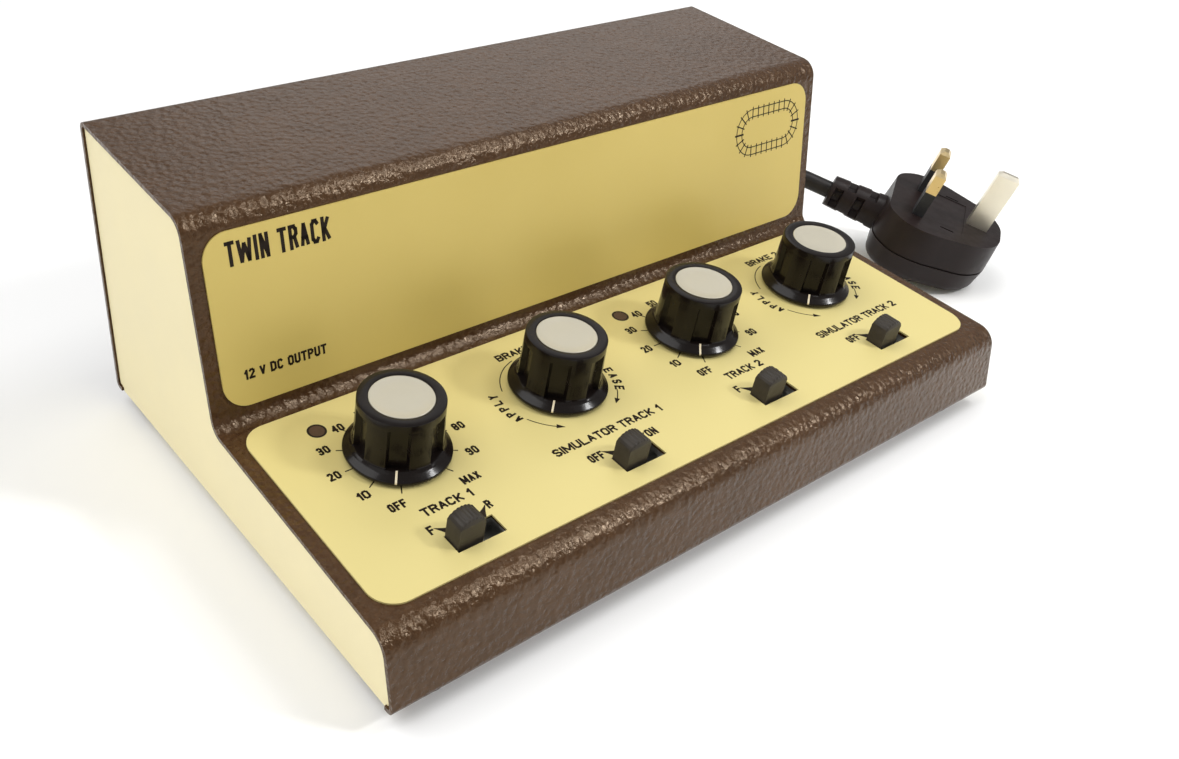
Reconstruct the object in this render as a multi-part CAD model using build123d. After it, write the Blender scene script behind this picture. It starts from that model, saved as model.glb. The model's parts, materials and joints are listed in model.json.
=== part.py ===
"""Twin track train set controller: a folded steel case with knobs, switches, works and mains lead.

The origin is on the surface that the feet stand on, at the centre of the case with its terminals.
+X points to the right of the control panel, +Y to the back and +Z up. Lengths are millimetres.
"""

import math
import os

from build123d import *

os.makedirs("parts", exist_ok=True)

# ---- case ----
CASE_WIDTH = 230.0
CASE_DEPTH = 150.0
SHEET = 1.2
FOOT_HEIGHT = 5.0
TERMINAL_REACH = 11.0
FLANGE = 18.0
SIDE_RECESS = 0.6
SIDE_GAP = 0.3

# Corners of the case's side outline, as (depth from the front edge, height above the cover's edge).
LIP_FOOT = (0.0, 0.0)
LIP_TOP = (4.0, 20.3)
VALLEY = (81.0, 26.2)
BROW = (91.0, 80.5)
BACK_TOP = (150.0, 85.0)
BACK_FOOT = (150.0, 0.0)
OUTLINE = [LIP_FOOT, LIP_TOP, VALLEY, BROW, BACK_TOP, BACK_FOOT]
BEND_RADII = [2.0, 6.5, 4.0, 6.0, 2.5, 2.0]

FRONT_Y = -(CASE_DEPTH + TERMINAL_REACH) / 2
BACK_Y = FRONT_Y + CASE_DEPTH
FLOOR_Z = FOOT_HEIGHT + 2 * SHEET
INNER_HALF_WIDTH = CASE_WIDTH / 2 - SIDE_RECESS - SHEET
CHEEK_FOOT_Y = (FRONT_Y + 3.5, BACK_Y - 3.5)

# ---- label plates ----
LABEL = 0.5
LABEL_MARGIN = 4.0
UPPER_LABEL_SPAN = (4.2, 50.2)
CONTROL_LABEL_SPAN = (6.5, 73.2)
LABEL_CORNER = 7.0

# ---- controls, placed on the control panel as (x, distance up the slope) ----
CONTROL_PITCH = 53.1
CONTROL_SHIFT = 0.3
CONTROL_X = [CONTROL_SHIFT + (i - 1.5) * CONTROL_PITCH for i in range(4)]
CONTROL_NAMES = ["throttle_1", "brake_1", "throttle_2", "brake_2"]
SWITCH_NAMES = ["direction_1", "simulator_1", "direction_2", "simulator_2"]
KNOB_ROW = 48.0
SWITCH_ROW = 15.0
SWITCH_OFFSET = -0.3
LAMP_ROW = 64.4
LAMP_OFFSET = -13.6

SHAFT_R = 3.0
SHAFT_CLEARANCE = 0.05
BUSH_R = 4.7
BUSH_TOP = 5.5
POT_R = 12.0
POT_DEPTH = 9.0
KNOB_BOTTOM = 1.4
KNOB_TOP = 18.0
SKIRT_R = 13.95
KNOB_R = 11.4
KNOB_TOP_R = 11.1
CAP_R = 8.25
CAP_DEPTH = 0.7
FLUTE_COUNT = 6
FLUTE_HALF_ANGLE = 14.0
FLUTE_FLOOR = 9.7
FLUTE_SPAN = (4.0, 15.5)
# Outside of the knob above its lower edge, as (radius, height above the panel).
SKIRT_PROFILE = [(SKIRT_R, 2.3), (12.3, 3.3), (11.6, 4.2), (KNOB_R, 5.0)]

SLOT_LENGTH = 14.2
SLOT_WIDTH = 6.0
SLIDER_LENGTH = 7.4
SLIDER_WIDTH = 5.2
SLIDER_TRAVEL = 6.0
SLIDER_TOP = 8.7
SHOE = (11.5, 8.0, 2.0)
SWITCH_BODY = (22.0, 12.0, 8.5)
SWITCH_PLATE = 0.8
SWITCH_SCREW_PITCH = 29.0
SWITCH_WALL = 1.2

LAMP_R = 2.0
HOLDER_R = 2.6

# ---- feet ----
FOOT_X = 100.0
FOOT_Y = [FRONT_Y + 10.5, BACK_Y - 10.5]
FOOT_PLACES = [(x, y) for x in (-FOOT_X, FOOT_X) for y in FOOT_Y]
FOOT_R = 6.5
FOOT_SCREW_R = 1.5
FOOT_HOLE_R = 1.75

# ---- transformer ----
CORE_WIDTH = 66.0
CORE_HEIGHT = 55.0
CORE_STACK = 30.0
CORE_X = 62.0
CORE_Y = BACK_Y - 34.0
CORE_Z = FLOOR_Z + 1.0
LIMB = 11.0
BRACKET = 1.0
TRANSFORMER_FEET = [(CORE_X + side * (CORE_WIDTH / 2 + 8.0), CORE_Y) for side in (-1, 1)]

# ---- circuit board, heat sink and floor vents ----
BOARD_X = (-92.0, 14.0)
BOARD_Y = (BACK_Y - 56.0, BACK_Y - 8.0)
BOARD_Z = FLOOR_Z + 6.0
BOARD_THICK = 1.6
PILLAR_INSET = 5.0
PILLAR_X = (BOARD_X[0] + PILLAR_INSET, BOARD_X[1] - PILLAR_INSET)
PILLAR_Y = (BOARD_Y[0] + PILLAR_INSET, BOARD_Y[1] - PILLAR_INSET)
PILLAR_PLACES = [(x, y) for x in PILLAR_X for y in PILLAR_Y]
VENT_COUNT = 9
VENT_PITCH = 9.0
VENT_START = -36.0
VENT_Y = FRONT_Y + 46.0
VENT_SIZE = (3.0, 30.0)
SINK_X = (-82.0, -2.0)
SINK_Y = BOARD_Y[0] + 9.0
DEVICE_PITCH = 18.7
DEVICE_X = [SINK_X[0] + 12.0 + DEVICE_PITCH * index for index in range(4)]

# ---- output terminals ----
TERMINAL_COUNT = 8
TERMINAL_PITCH = 9.5
TERMINAL_START = -92.0
TERMINAL_Z = FLOOR_Z + 22.0
TERMINAL_HEIGHT = 17.0
TERMINAL_ENDS = (TERMINAL_START - 13.0, TERMINAL_START + (TERMINAL_COUNT - 1) * TERMINAL_PITCH + 13.0)
TERMINAL_SCREW_X = (TERMINAL_ENDS[0] + 3.5, TERMINAL_ENDS[1] - 3.5)

# ---- mains lead and plug ----
CORD_D = 6.5
LEAD_X = 58.0
LEAD_HEIGHT = 18.0
BUSH_LENGTH = 26.0
COIL_LAYERS = 3
COIL_RINGS = 2
COIL_R = 38.0
COIL_INNER_R = COIL_R - COIL_RINGS * CORD_D / 2
COIL_OUTER_R = COIL_R + COIL_RINGS * CORD_D / 2
COIL_HEIGHT = COIL_LAYERS * CORD_D
COIL_X = LEAD_X + 1.0 + COIL_R + CORD_D / 2
COIL_Y = BACK_Y + 94.0

PLUG_ORIGIN = Vector(175.2, -8.6, 28.1)
PLUG_PINS_DIR = Vector(0.103, -0.213, 0.971)
PLUG_WIDTH_DIR = Vector(-0.872, -0.489, -0.015)
PLUG_DEPTH = 22.0
PARTING_DEPTH = 12.0
PLUG_BACK_RADIUS = 4.5
# Right half of the plug's outline seen on its pins, from the cord end to the earth end.
PLUG_HALF = [(17.0, -11.5), (25.5, -3.5), (25.5, 7.0), (18.5, 25.5), (9.0, 32.5)]
PLUG_CORNERS = [12.0, 12.0, 25.0, 18.0, 18.0]
PIN_SPACING = 22.23
LIVE_SECTION = (6.35, 3.975)
EARTH_SECTION = (3.975, 7.95)
LIVE_LENGTH = 17.7
EARTH_LENGTH = 22.7
PIN_ROOT = 6.0
SLEEVE_LENGTH = 9.5
SLEEVE_THICK = 0.6
LIVE_X = [-PIN_SPACING / 2, PIN_SPACING / 2]
FUSE_X = (-13.2, 13.2)
FUSE_Y = (5.8, 17.4)
FUSE_POCKET_DEPTH = 9.0
FUSE_DEPTH = 5.6
FUSE_R = 3.15
FUSE_LENGTH = 25.4
PRY_SLOT_X = 14.5
RELIEF_Y = (-11.0, -31.5)
RELIEF_RADII = (7.0, 6.0)
CORD_DEPTH = -11.0

CONTROL_SLOPE = math.atan2(VALLEY[1] - LIP_TOP[1], VALLEY[0] - LIP_TOP[0])
UPPER_SLOPE = math.atan2(BROW[1] - VALLEY[1], BROW[0] - VALLEY[0])


def sloped_plane(corner, slope):
    """Plane on the outside of a panel: x to the right, y up the slope, z out of the panel."""
    origin = (0, FRONT_Y + corner[0], FOOT_HEIGHT + corner[1])
    return Plane(origin=origin, x_dir=(1, 0, 0), z_dir=(0, -math.sin(slope), math.cos(slope)))


CONTROL_PLANE = sloped_plane(LIP_TOP, CONTROL_SLOPE)
UPPER_PLANE = sloped_plane(VALLEY, UPPER_SLOPE)
PLUG_PLANE = Plane(origin=PLUG_ORIGIN, x_dir=PLUG_WIDTH_DIR, z_dir=PLUG_PINS_DIR)


def on_panel(x, up, out=0.0):
    return CONTROL_PLANE.location * Pos(x, up, out)


def disc(radius, low, high):
    """Solid cylinder about the local z axis between two heights."""
    return Pos(0, 0, low) * Cylinder(radius, high - low, align=(Align.CENTER, Align.CENTER, Align.MIN))


def ring(outer, inner, low, high):
    return disc(outer, low, high) - disc(inner, low - 1, high + 1)


def block(x_span, y_span, z_span):
    """Box from its spans along x, y and z."""
    low = (x_span[0], y_span[0], z_span[0])
    size = [span[1] - span[0] for span in (x_span, y_span, z_span)]
    return Pos(*low) * Box(*size, align=(Align.MIN, Align.MIN, Align.MIN))


def hexagon(across_flats, low, high):
    outline = RegularPolygon(across_flats / 2, 6, major_radius=False)
    return Pos(0, 0, low) * extrude(outline, high - low)


def revolved(points):
    """Solid of revolution about the local z axis, from (radius, height) points."""
    profile = make_face(Plane.XZ * Polyline(*points, close=True))
    return revolve(profile, axis=Axis.Z)


def write(name, shape):
    solids = list(shape.solids())
    body = solids[0] if len(solids) == 1 else Compound(children=solids)
    export_step(body, f"parts/{name}.step")


def group(shapes):
    """Several separate solids kept in one node."""
    return Compound(children=[solid for shape in shapes for solid in shape.solids()])


# ---------------------------------------------------------------- case


def case_face(inset):
    """Side outline of the case in the Y-Z plane, pulled in by an inset."""
    points = [(FRONT_Y + y, FOOT_HEIGHT + z) for y, z in OUTLINE]
    outline = make_face(FilletPolyline(*points, radius=BEND_RADII, close=True))
    return offset(outline, -inset) if inset else outline


def across(face, half_width):
    """Side outline run across the case, centred on x = 0."""
    return extrude(Plane.YZ * face, half_width, both=True)


def terminal_x(index):
    return TERMINAL_START + index * TERMINAL_PITCH


def foot_holes():
    return group([Pos(x, y, 0) * disc(FOOT_HOLE_R, FOOT_HEIGHT - 1, FLOOR_Z + 1) for x, y in FOOT_PLACES])


def back_hole(radius, x, z):
    """Drill through the back of the cover."""
    return Pos(x, BACK_Y + 2, z) * Rot(90, 0, 0) * disc(radius, 0, 6)


def cover():
    shell = across(case_face(0) - case_face(SHEET), CASE_WIDTH / 2)
    mouth = (FRONT_Y + FLANGE, BACK_Y - FLANGE)
    half = CASE_WIDTH / 2 + 1
    shell -= block((-half, half), mouth, (FOOT_HEIGHT - 1, FOOT_HEIGHT + SHEET + 0.5))
    for side in (-1, 1):
        end = sorted((side * (INNER_HALF_WIDTH - SIDE_GAP), side * half))
        shell -= block(end, CHEEK_FOOT_Y, (FOOT_HEIGHT - 1, FOOT_HEIGHT + SHEET + SIDE_GAP))
    shell -= foot_holes()
    for x in CONTROL_X:
        shell -= on_panel(x, KNOB_ROW) * disc(BUSH_R + 0.3, -4, 2)
        slot = Pos(0, 0, -4) * extrude(Rectangle(SLOT_LENGTH + 1, SLOT_WIDTH + 1), 6)
        shell -= on_panel(x + SWITCH_OFFSET, SWITCH_ROW) * slot
        for side in (-1, 1):
            screw_x = x + SWITCH_OFFSET + side * SWITCH_SCREW_PITCH / 2
            shell -= on_panel(screw_x, SWITCH_ROW) * switch_screw_hole()
    for x in (CONTROL_X[0], CONTROL_X[2]):
        shell -= on_panel(x + LAMP_OFFSET, LAMP_ROW) * disc(HOLDER_R, -4, 2)
    slot_x = (terminal_x(0) - 6, terminal_x(TERMINAL_COUNT - 1) + 6)
    slot_z = (TERMINAL_Z - 3, TERMINAL_Z + 3)
    shell -= block(slot_x, (BACK_Y - 4, BACK_Y + 2), slot_z)
    for x in TERMINAL_SCREW_X:
        shell -= back_hole(1.6, x, TERMINAL_Z)
    shell -= back_hole(6.2, LEAD_X, LEAD_HEIGHT)
    return shell


def chassis():
    """Base with both side cheeks folded up from it, inside the cover."""
    side_face = case_face(SHEET + SIDE_GAP)
    outer = INNER_HALF_WIDTH + SHEET
    base_top = (FOOT_HEIGHT + SHEET, FLOOR_Z)
    full = across(side_face, outer) - across(side_face, INNER_HALF_WIDTH)
    low = FRONT_Y + SHEET + SIDE_GAP + 1.5
    high = BACK_Y - SHEET - SIDE_GAP - 1.5
    tray = full + block((-outer, outer), (low, high), base_top)
    for side in (-1, 1):
        cheek = sorted((side * INNER_HALF_WIDTH, side * outer))
        foot_y = (CHEEK_FOOT_Y[0] + SIDE_GAP, CHEEK_FOOT_Y[1] - SIDE_GAP)
        tray += block(cheek, foot_y, (FOOT_HEIGHT, FLOOR_Z))
    tray -= foot_holes()
    for x, y in TRANSFORMER_FEET + PILLAR_PLACES:
        tray -= Pos(x, y, 0) * disc(1.7, FOOT_HEIGHT, FLOOR_Z + 1)
    for row in range(VENT_COUNT):
        x = VENT_START + row * VENT_PITCH
        tray -= Pos(x, VENT_Y, FOOT_HEIGHT) * extrude(Rectangle(*VENT_SIZE), 6)
    return tray


def foot_parts():
    """Rubber foot with a sunk head, its screw and its nut, at the four corners."""
    foot = revolved([(FOOT_HOLE_R, 2.6), (3.6, 2.6), (3.6, 0), (FOOT_R - 0.6, 0), (FOOT_R, 0.8),
                     (FOOT_R - 0.4, FOOT_HEIGHT), (FOOT_HOLE_R, FOOT_HEIGHT)])
    screw = disc(2.9, 0.7, 2.6) + disc(FOOT_SCREW_R, 2.6, FLOOR_Z + 4.0)
    screw -= block((-2, 2), (-0.4, 0.4), (0.5, 1.5))
    nut = hexagon(5.5, FLOOR_Z, FLOOR_Z + 2.4) - disc(FOOT_SCREW_R, 0, 20)
    return [[Pos(x, y, 0) * part for x, y in FOOT_PLACES] for part in (foot, screw, nut)]


# ---------------------------------------------------------------- label plates


def label_plate(plane, span, corner=LABEL_CORNER):
    width = CASE_WIDTH - 2 * LABEL_MARGIN
    height = span[1] - span[0]
    outline = Pos(0, sum(span) / 2) * RectangleRounded(width, height, corner)
    return plane.location * extrude(outline, LABEL)


def control_label():
    plate = label_plate(CONTROL_PLANE, CONTROL_LABEL_SPAN)
    for x in CONTROL_X:
        plate -= on_panel(x, KNOB_ROW) * disc(BUSH_R + 0.3, -1, 2)
        slot = Pos(0, 0, -1) * extrude(Rectangle(SLOT_LENGTH, SLOT_WIDTH), 3)
        plate -= on_panel(x + SWITCH_OFFSET, SWITCH_ROW) * slot
    for x in (CONTROL_X[0], CONTROL_X[2]):
        plate -= on_panel(x + LAMP_OFFSET, LAMP_ROW) * disc(HOLDER_R, -1, 2)
    return plate


# ---------------------------------------------------------------- rotary controls


def potentiometer():
    """Can, threaded bush and three solder lugs, with a bore for the shaft."""
    top = -SHEET
    can = disc(POT_R, top - POT_DEPTH, top)
    body = can + disc(BUSH_R, top, BUSH_TOP)
    for offset_x in (-5, 0, 5):
        body += block((offset_x - 0.9, offset_x + 0.9), (-POT_R - 5.5, -POT_R + 2), (top - 5.0, top - 4.4))
    body -= disc(SHAFT_R + SHAFT_CLEARANCE, top - 6.0, BUSH_TOP + 1)
    return body


def pot_washer():
    return ring(8.0, BUSH_R, LABEL, LABEL + 0.5)


def pot_nut():
    return hexagon(12.5, LABEL + 0.5, LABEL + 2.6) - disc(BUSH_R, 0, 5)


def knob_shaft():
    return disc(SHAFT_R, -SHEET - 5.8, KNOB_TOP - 4.0)


def knob():
    """Skirted knob with six flat-floored flutes, bored for its shaft and hollow over the nut."""
    rim = [(KNOB_TOP_R, KNOB_TOP - 0.15), (KNOB_TOP_R - 0.15, KNOB_TOP), (0, KNOB_TOP)]
    body = revolved([(0, KNOB_BOTTOM), (SKIRT_R, KNOB_BOTTOM)] + SKIRT_PROFILE + rim)
    spread = math.tan(math.radians(FLUTE_HALF_ANGLE))
    reach = 2 * SKIRT_R
    wedge = make_face(Polyline((FLUTE_FLOOR, -FLUTE_FLOOR * spread), (reach, -reach * spread),
                               (reach, reach * spread), (FLUTE_FLOOR, FLUTE_FLOOR * spread), close=True))
    flute = Pos(0, 0, FLUTE_SPAN[0]) * extrude(wedge, FLUTE_SPAN[1] - FLUTE_SPAN[0])
    for index in range(FLUTE_COUNT):
        body -= Rot(0, 0, 360 / FLUTE_COUNT * index) * flute
    body -= disc(9.0, KNOB_BOTTOM - 1, BUSH_TOP + 0.8)
    body -= disc(SHAFT_R, 0, KNOB_TOP - 4.0)
    body -= disc(CAP_R, KNOB_TOP - CAP_DEPTH, KNOB_TOP + 1)
    return body


def knob_cap():
    """Flat metal disc let into the knob's top."""
    return revolved([(0, KNOB_TOP - CAP_DEPTH), (CAP_R, KNOB_TOP - CAP_DEPTH), (CAP_R, KNOB_TOP - 0.1),
                     (CAP_R - 0.1, KNOB_TOP), (0, KNOB_TOP)])


# ---------------------------------------------------------------- slide switches


def switch_screw_hole():
    """Countersunk hole that lies under the label plate."""
    return revolved([(0, -4), (1.3, -4), (1.3, -1.1), (2.4, 0), (2.4, 1), (0, 1)])


def switch_housing():
    """Metal frame with a hollow for the slider's shoe."""
    top = -SHEET
    length, width, depth = SWITCH_BODY
    plate = Pos(0, 0, top - SWITCH_PLATE) * extrude(Rectangle(SWITCH_SCREW_PITCH + 6, width), SWITCH_PLATE)
    body = plate + Pos(0, 0, top - depth) * extrude(Rectangle(length, width), depth)
    body -= Pos(0, 0, top - SWITCH_PLATE - 1) * extrude(Rectangle(SLOT_LENGTH + 1, SLOT_WIDTH + 1), 4)
    cavity = Rectangle(length - 2 * SWITCH_WALL, width - 2 * SWITCH_WALL)
    body -= Pos(0, 0, top - SWITCH_PLATE - 3.0) * extrude(cavity, 3.0)
    for pin_x in (-6, 0, 6):
        for pin_y in (-3, 3):
            low = top - depth - 3.5
            body += block((pin_x - 0.8, pin_x + 0.8), (pin_y - 0.3, pin_y + 0.3), (low, top - depth + 0.5))
    for side in (-1, 1):
        body -= Pos(side * SWITCH_SCREW_PITCH / 2, 0, 0) * disc(1.25, top - 3, top + 1)
    return body


def switch_slider():
    """Ribbed thumb piece on a shoe, drawn at the left end of its travel."""
    x = -SLIDER_TRAVEL / 2
    shoe_top = -SHEET - SWITCH_PLATE - 0.3
    shoe = Pos(x, 0, shoe_top - SHOE[2]) * extrude(Rectangle(SHOE[0], SHOE[1]), SHOE[2])
    outline = RectangleRounded(SLIDER_LENGTH, SLIDER_WIDTH, 0.5)
    stem = Pos(x, 0, shoe_top) * extrude(outline, SLIDER_TOP - shoe_top)
    crown_edges = stem.faces().sort_by(Axis.Z)[-1].edges().filter_by(Axis.Y)
    stem = fillet(crown_edges, 1.3)
    for index in range(6):
        groove_x = x + (index - 2.5) * 0.85
        stem -= block((groove_x - 0.18, groove_x + 0.18), (-4, 4), (SLIDER_TOP - 0.45, SLIDER_TOP + 1))
    return shoe + stem


def switch_screw():
    shank = revolved([(0, -SHEET - SWITCH_PLATE - 2.5), (1.25, -SHEET - SWITCH_PLATE - 2.5), (1.25, -1.15),
                      (2.35, -0.05), (0, -0.05)])
    return shank - block((-1.6, 1.6), (-0.25, 0.25), (-0.6, 1))


# ---------------------------------------------------------------- indicator lamps


def lamp():
    """Round lens, level with the label plate, with its base and two leads below."""
    body = disc(LAMP_R, -4.5, LABEL) + disc(LAMP_R - 0.7, -7.0, -4.5)
    for side in (-0.9, 0.9):
        body += block((side - 0.25, side + 0.25), (-0.25, 0.25), (-12.0, -6.5))
    return body


def lamp_holder():
    """Bush round the lamp, pushed up through the panel from below."""
    return ring(HOLDER_R, LAMP_R, -5.0, LABEL) + ring(HOLDER_R + 1.2, LAMP_R, -SHEET - 1.5, -SHEET)


# ---------------------------------------------------------------- transformer

def transformer():
    """Laminated core, bobbin, winding and strap, each as its own solid."""
    centre = Pos(CORE_X, CORE_Y, CORE_Z)
    half = CORE_WIDTH / 2
    stack = (-CORE_STACK / 2, CORE_STACK / 2)
    window = (LIMB, CORE_HEIGHT - LIMB)
    core = block((-half, half), stack, (0, CORE_HEIGHT))
    core -= block((-half + LIMB, -LIMB), (-50, 50), window)
    core -= block((LIMB, half - LIMB), (-50, 50), window)
    cheek = 1.0
    reach = CORE_STACK / 2 + 9.0
    bobbin_x = half - LIMB - 0.3
    outer = block((-bobbin_x, bobbin_x), (-reach, reach), (window[0] + 0.2, window[1] - 0.2))
    wound_z = (window[0] + 1.2, window[1] - 1.2)
    wound = block((-bobbin_x - 1, bobbin_x + 1), (-reach - 1, reach + 1), wound_z)
    tube = block((-LIMB - cheek, LIMB + cheek), (stack[0] - cheek, stack[1] + cheek), window)
    limb = block((-LIMB, LIMB), stack, (0, CORE_HEIGHT))
    bobbin = (outer - wound) + (outer & tube) - limb
    copper_x = bobbin_x - 0.6
    copper = block((-copper_x, copper_x), (-reach + 0.6, reach - 0.6), (window[0] + 1.2, window[1] - 1.2))
    copper = fillet(copper.edges().filter_by(Axis.Z), 4.0) - tube - limb
    lug_x = half + 13.0
    strap = block((-half - BRACKET, half + BRACKET), (-9, 9), (-1.0, CORE_HEIGHT + BRACKET))
    strap -= block((-half, half), (-10, 10), (-2, CORE_HEIGHT))
    for side in (-1, 1):
        span = sorted((side * half, side * lug_x))
        lug = block(span, (-9, 9), (-1.0, 0.2))
        lug -= block((-half, half), (-10, 10), (-2, 1))
        lug -= Pos(side * (half + 8.0), 0, 0) * disc(1.7, -3, 3)
        strap += lug
    return [centre * piece for piece in (core, bobbin, copper, strap)]


def fixing_screw(x, y, top):
    """Pan head screw from above, through to the underside of the base."""
    screw = disc(2.8, top, top + 1.8) + disc(1.5, FLOOR_Z - SHEET, top)
    screw -= block((-2, 2), (-0.4, 0.4), (top + 1.0, top + 3))
    return Pos(x, y, 0) * screw


# ---------------------------------------------------------------- circuit board

def circuit_board():
    board = block(BOARD_X, BOARD_Y, (BOARD_Z, BOARD_Z + BOARD_THICK))
    for x, y in PILLAR_PLACES:
        board -= Pos(x, y, 0) * disc(1.7, BOARD_Z - 1, BOARD_Z + 4)
    return board


def board_pillars():
    pillar = hexagon(6.0, FLOOR_Z, BOARD_Z) - disc(1.5, 0, BOARD_Z + 1)
    return group([Pos(x, y, 0) * pillar for x, y in PILLAR_PLACES])


def heat_sink():
    """Aluminium angle along the board, with fins on its front."""
    top = BOARD_Z + BOARD_THICK
    wall = block(SINK_X, (SINK_Y, SINK_Y + 2), (top, top + 30))
    foot = block(SINK_X, (SINK_Y - 7, SINK_Y), (top, top + 2))
    sink = wall + foot
    for index in range(9):
        x = SINK_X[0] + 4 + index * 9
        sink += block((x - 0.6, x + 0.6), (SINK_Y - 6, SINK_Y), (top, top + 30))
    return sink


def power_transistors():
    """Four flat power devices, tabs against the heat sink and legs in the board."""
    top = BOARD_Z + BOARD_THICK
    back = SINK_Y + 2
    device = block((-5, 5), (back, back + 4.4), (top + 4, top + 13.5))
    device += block((-5, 5), (back, back + 1.3), (top + 13.5, top + 19.5))
    for x in (-2.54, 0, 2.54):
        device += block((x - 0.4, x + 0.4), (back + 2.0, back + 2.5), (top, top + 4.5))
    return group([Pos(x, 0, 0) * device for x in DEVICE_X])


def rectifiers():
    top = BOARD_Z + BOARD_THICK
    shape = block((-9, 9), (-2.2, 2.2), (top + 2, top + 15))
    for x in (-6.6, -2.2, 2.2, 6.6):
        shape += block((x - 0.4, x + 0.4), (-0.3, 0.3), (top, top + 3))
    return group([Pos(x, BOARD_Y[1] - 8, 0) * shape for x in (-70.0, -24.0)])


def capacitors():
    top = BOARD_Z + BOARD_THICK
    can = fillet(disc(8.0, top, top + 26).edges().sort_by(Axis.Z)[-1], 0.8)
    return group([Pos(x, BOARD_Y[1] - 16, 0) * can for x in (-48.0, -3.0)])


# ---------------------------------------------------------------- output terminals


def terminal_strip():
    """Barrier strip screwed to the back, with a cell for each wire and solder tags inside the case."""
    half = TERMINAL_HEIGHT / 2
    low_z = TERMINAL_Z - half
    high_z = TERMINAL_Z + half
    strip = block(TERMINAL_ENDS, (BACK_Y, BACK_Y + 4), (low_z, high_z))
    for index in range(TERMINAL_COUNT + 1):
        x = terminal_x(index) - TERMINAL_PITCH / 2
        strip += block((x - 0.8, x + 0.8), (BACK_Y, BACK_Y + TERMINAL_REACH), (low_z, high_z))
    for x in TERMINAL_SCREW_X:
        strip -= Pos(x, BACK_Y + 10, TERMINAL_Z) * Rot(90, 0, 0) * disc(1.6, 0, 12)
    for index in range(TERMINAL_COUNT):
        x = terminal_x(index)
        strip += block((x - 1.5, x + 1.5), (BACK_Y - 6.0, BACK_Y), (TERMINAL_Z - 0.4, TERMINAL_Z + 0.4))
        strip -= Pos(x, BACK_Y + 10, TERMINAL_Z) * Rot(90, 0, 0) * disc(1.5, 4, 8.5)
    return strip


def terminal_screws():
    """Clamp screws in the strip, with the two that hold it to the back."""
    clamp = disc(3.0, -1.6 - 4, -4) + disc(1.5, -4, -1.5)
    clamp -= block((-2.5, 2.5), (-0.4, 0.4), (-6, -4.9))
    turn = Rot(-90, 0, 0) * Rot(180, 0, 0)
    screws = [Pos(terminal_x(i), BACK_Y, TERMINAL_Z) * turn * clamp for i in range(TERMINAL_COUNT)]
    fixing = disc(2.9, -1.8 - 4, -4) + disc(1.6, -4, 3)
    fixing -= block((-2, 2), (-0.4, 0.4), (-6, -4.9))
    screws += [Pos(x, BACK_Y, TERMINAL_Z) * turn * fixing for x in TERMINAL_SCREW_X]
    return group(screws)


# ---------------------------------------------------------------- mains lead


def cord_bush():
    """Tapered strain relief, gripped by the back of the cover."""
    radius = CORD_D / 2
    neck = 6.1
    bush = revolved([(radius, -6), (7.6, -6), (7.6, -SHEET), (neck, -SHEET), (neck, 0), (8.0, 0),
                     (8.0, 2.5), (6.0, 3.5), (4.4, BUSH_LENGTH), (radius, BUSH_LENGTH)])
    return Pos(LEAD_X, BACK_Y, LEAD_HEIGHT) * Rot(-90, 0, 0) * bush


def plug_point(x, y, z):
    return PLUG_PLANE.from_local_coords(Vector(x, y, z))


def route_radii(points):
    """Radius at each corner of a route: as large as its two runs allow."""
    radii = []
    for before, here, after in zip(points, points[1:], points[2:]):
        run_in = here - before
        run_out = after - here
        turn = math.radians(run_in.get_angle(run_out))
        radii.append(0.45 * min(run_in.length, run_out.length) / math.tan(turn / 2))
    return radii


def cord_tube(points):
    radii = route_radii(points)
    path = FilletPolyline(*points, radius=radii)
    start = Plane(origin=points[0], z_dir=points[1] - points[0])
    tube = sweep(start * Circle(CORD_D / 2), path=path)
    print("cord radii", [round(radius, 1) for radius in radii])
    print("cord tube length", round(path.length, 1), "volume ratio",
          round(tube.volume / (math.pi * CORD_D**2 / 4 * path.length), 4))
    return tube


def lead_to_coil():
    """Route from the bush down to the floor and the left side of the coil, which it meets going back."""
    start = Vector(LEAD_X, BACK_Y + BUSH_LENGTH, LEAD_HEIGHT)
    end = Vector(COIL_X - COIL_R - CORD_D / 2, COIL_Y, CORD_D / 2)
    return [start, start + Vector(0.5, 18, -1.5), Vector(end.X, COIL_Y - 28, 6.0), end]


def coil_to_plug():
    """Route from the top of the coil at its right side, down to the floor and up to the plug."""
    start = Vector(COIL_X + COIL_R, COIL_Y, COIL_HEIGHT + CORD_D / 2)
    end = plug_point(0, RELIEF_Y[1], CORD_DEPTH)
    out = plug_point(0, RELIEF_Y[1] - 20, CORD_DEPTH)
    return [start, start + Vector(1.0, -22, -2.25), start + Vector(1.5, -41, -13.75),
            start + Vector(2.0, -62, -18.25), start + Vector(3.0, -84, -11.75),
            start + Vector(4.5, -106, 2.25), out, end]


def cord_coil():
    """Outer shape of the wound cord, with the last half turn lying on top."""
    wound = ring(COIL_OUTER_R, COIL_INNER_R, 0, COIL_HEIGHT)
    last = ring(COIL_R + CORD_D / 2, COIL_R - CORD_D / 2, COIL_HEIGHT, COIL_HEIGHT + CORD_D)
    last -= block((-2 * COIL_R, 2 * COIL_R), (-2 * COIL_R, 0), (0, 2 * COIL_HEIGHT))
    return Pos(COIL_X, COIL_Y, 0) * (wound + last)


# ---------------------------------------------------------------- mains plug


def plug_outline():
    """Outline of the plug seen on its pins: blunt at the cord, rounded round the earth pin."""
    mirrored = [(-x, y) for x, y in reversed(PLUG_HALF)]
    radii = PLUG_CORNERS + PLUG_CORNERS[::-1]
    return make_face(FilletPolyline(*PLUG_HALF, *mirrored, radius=radii, close=True))


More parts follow.
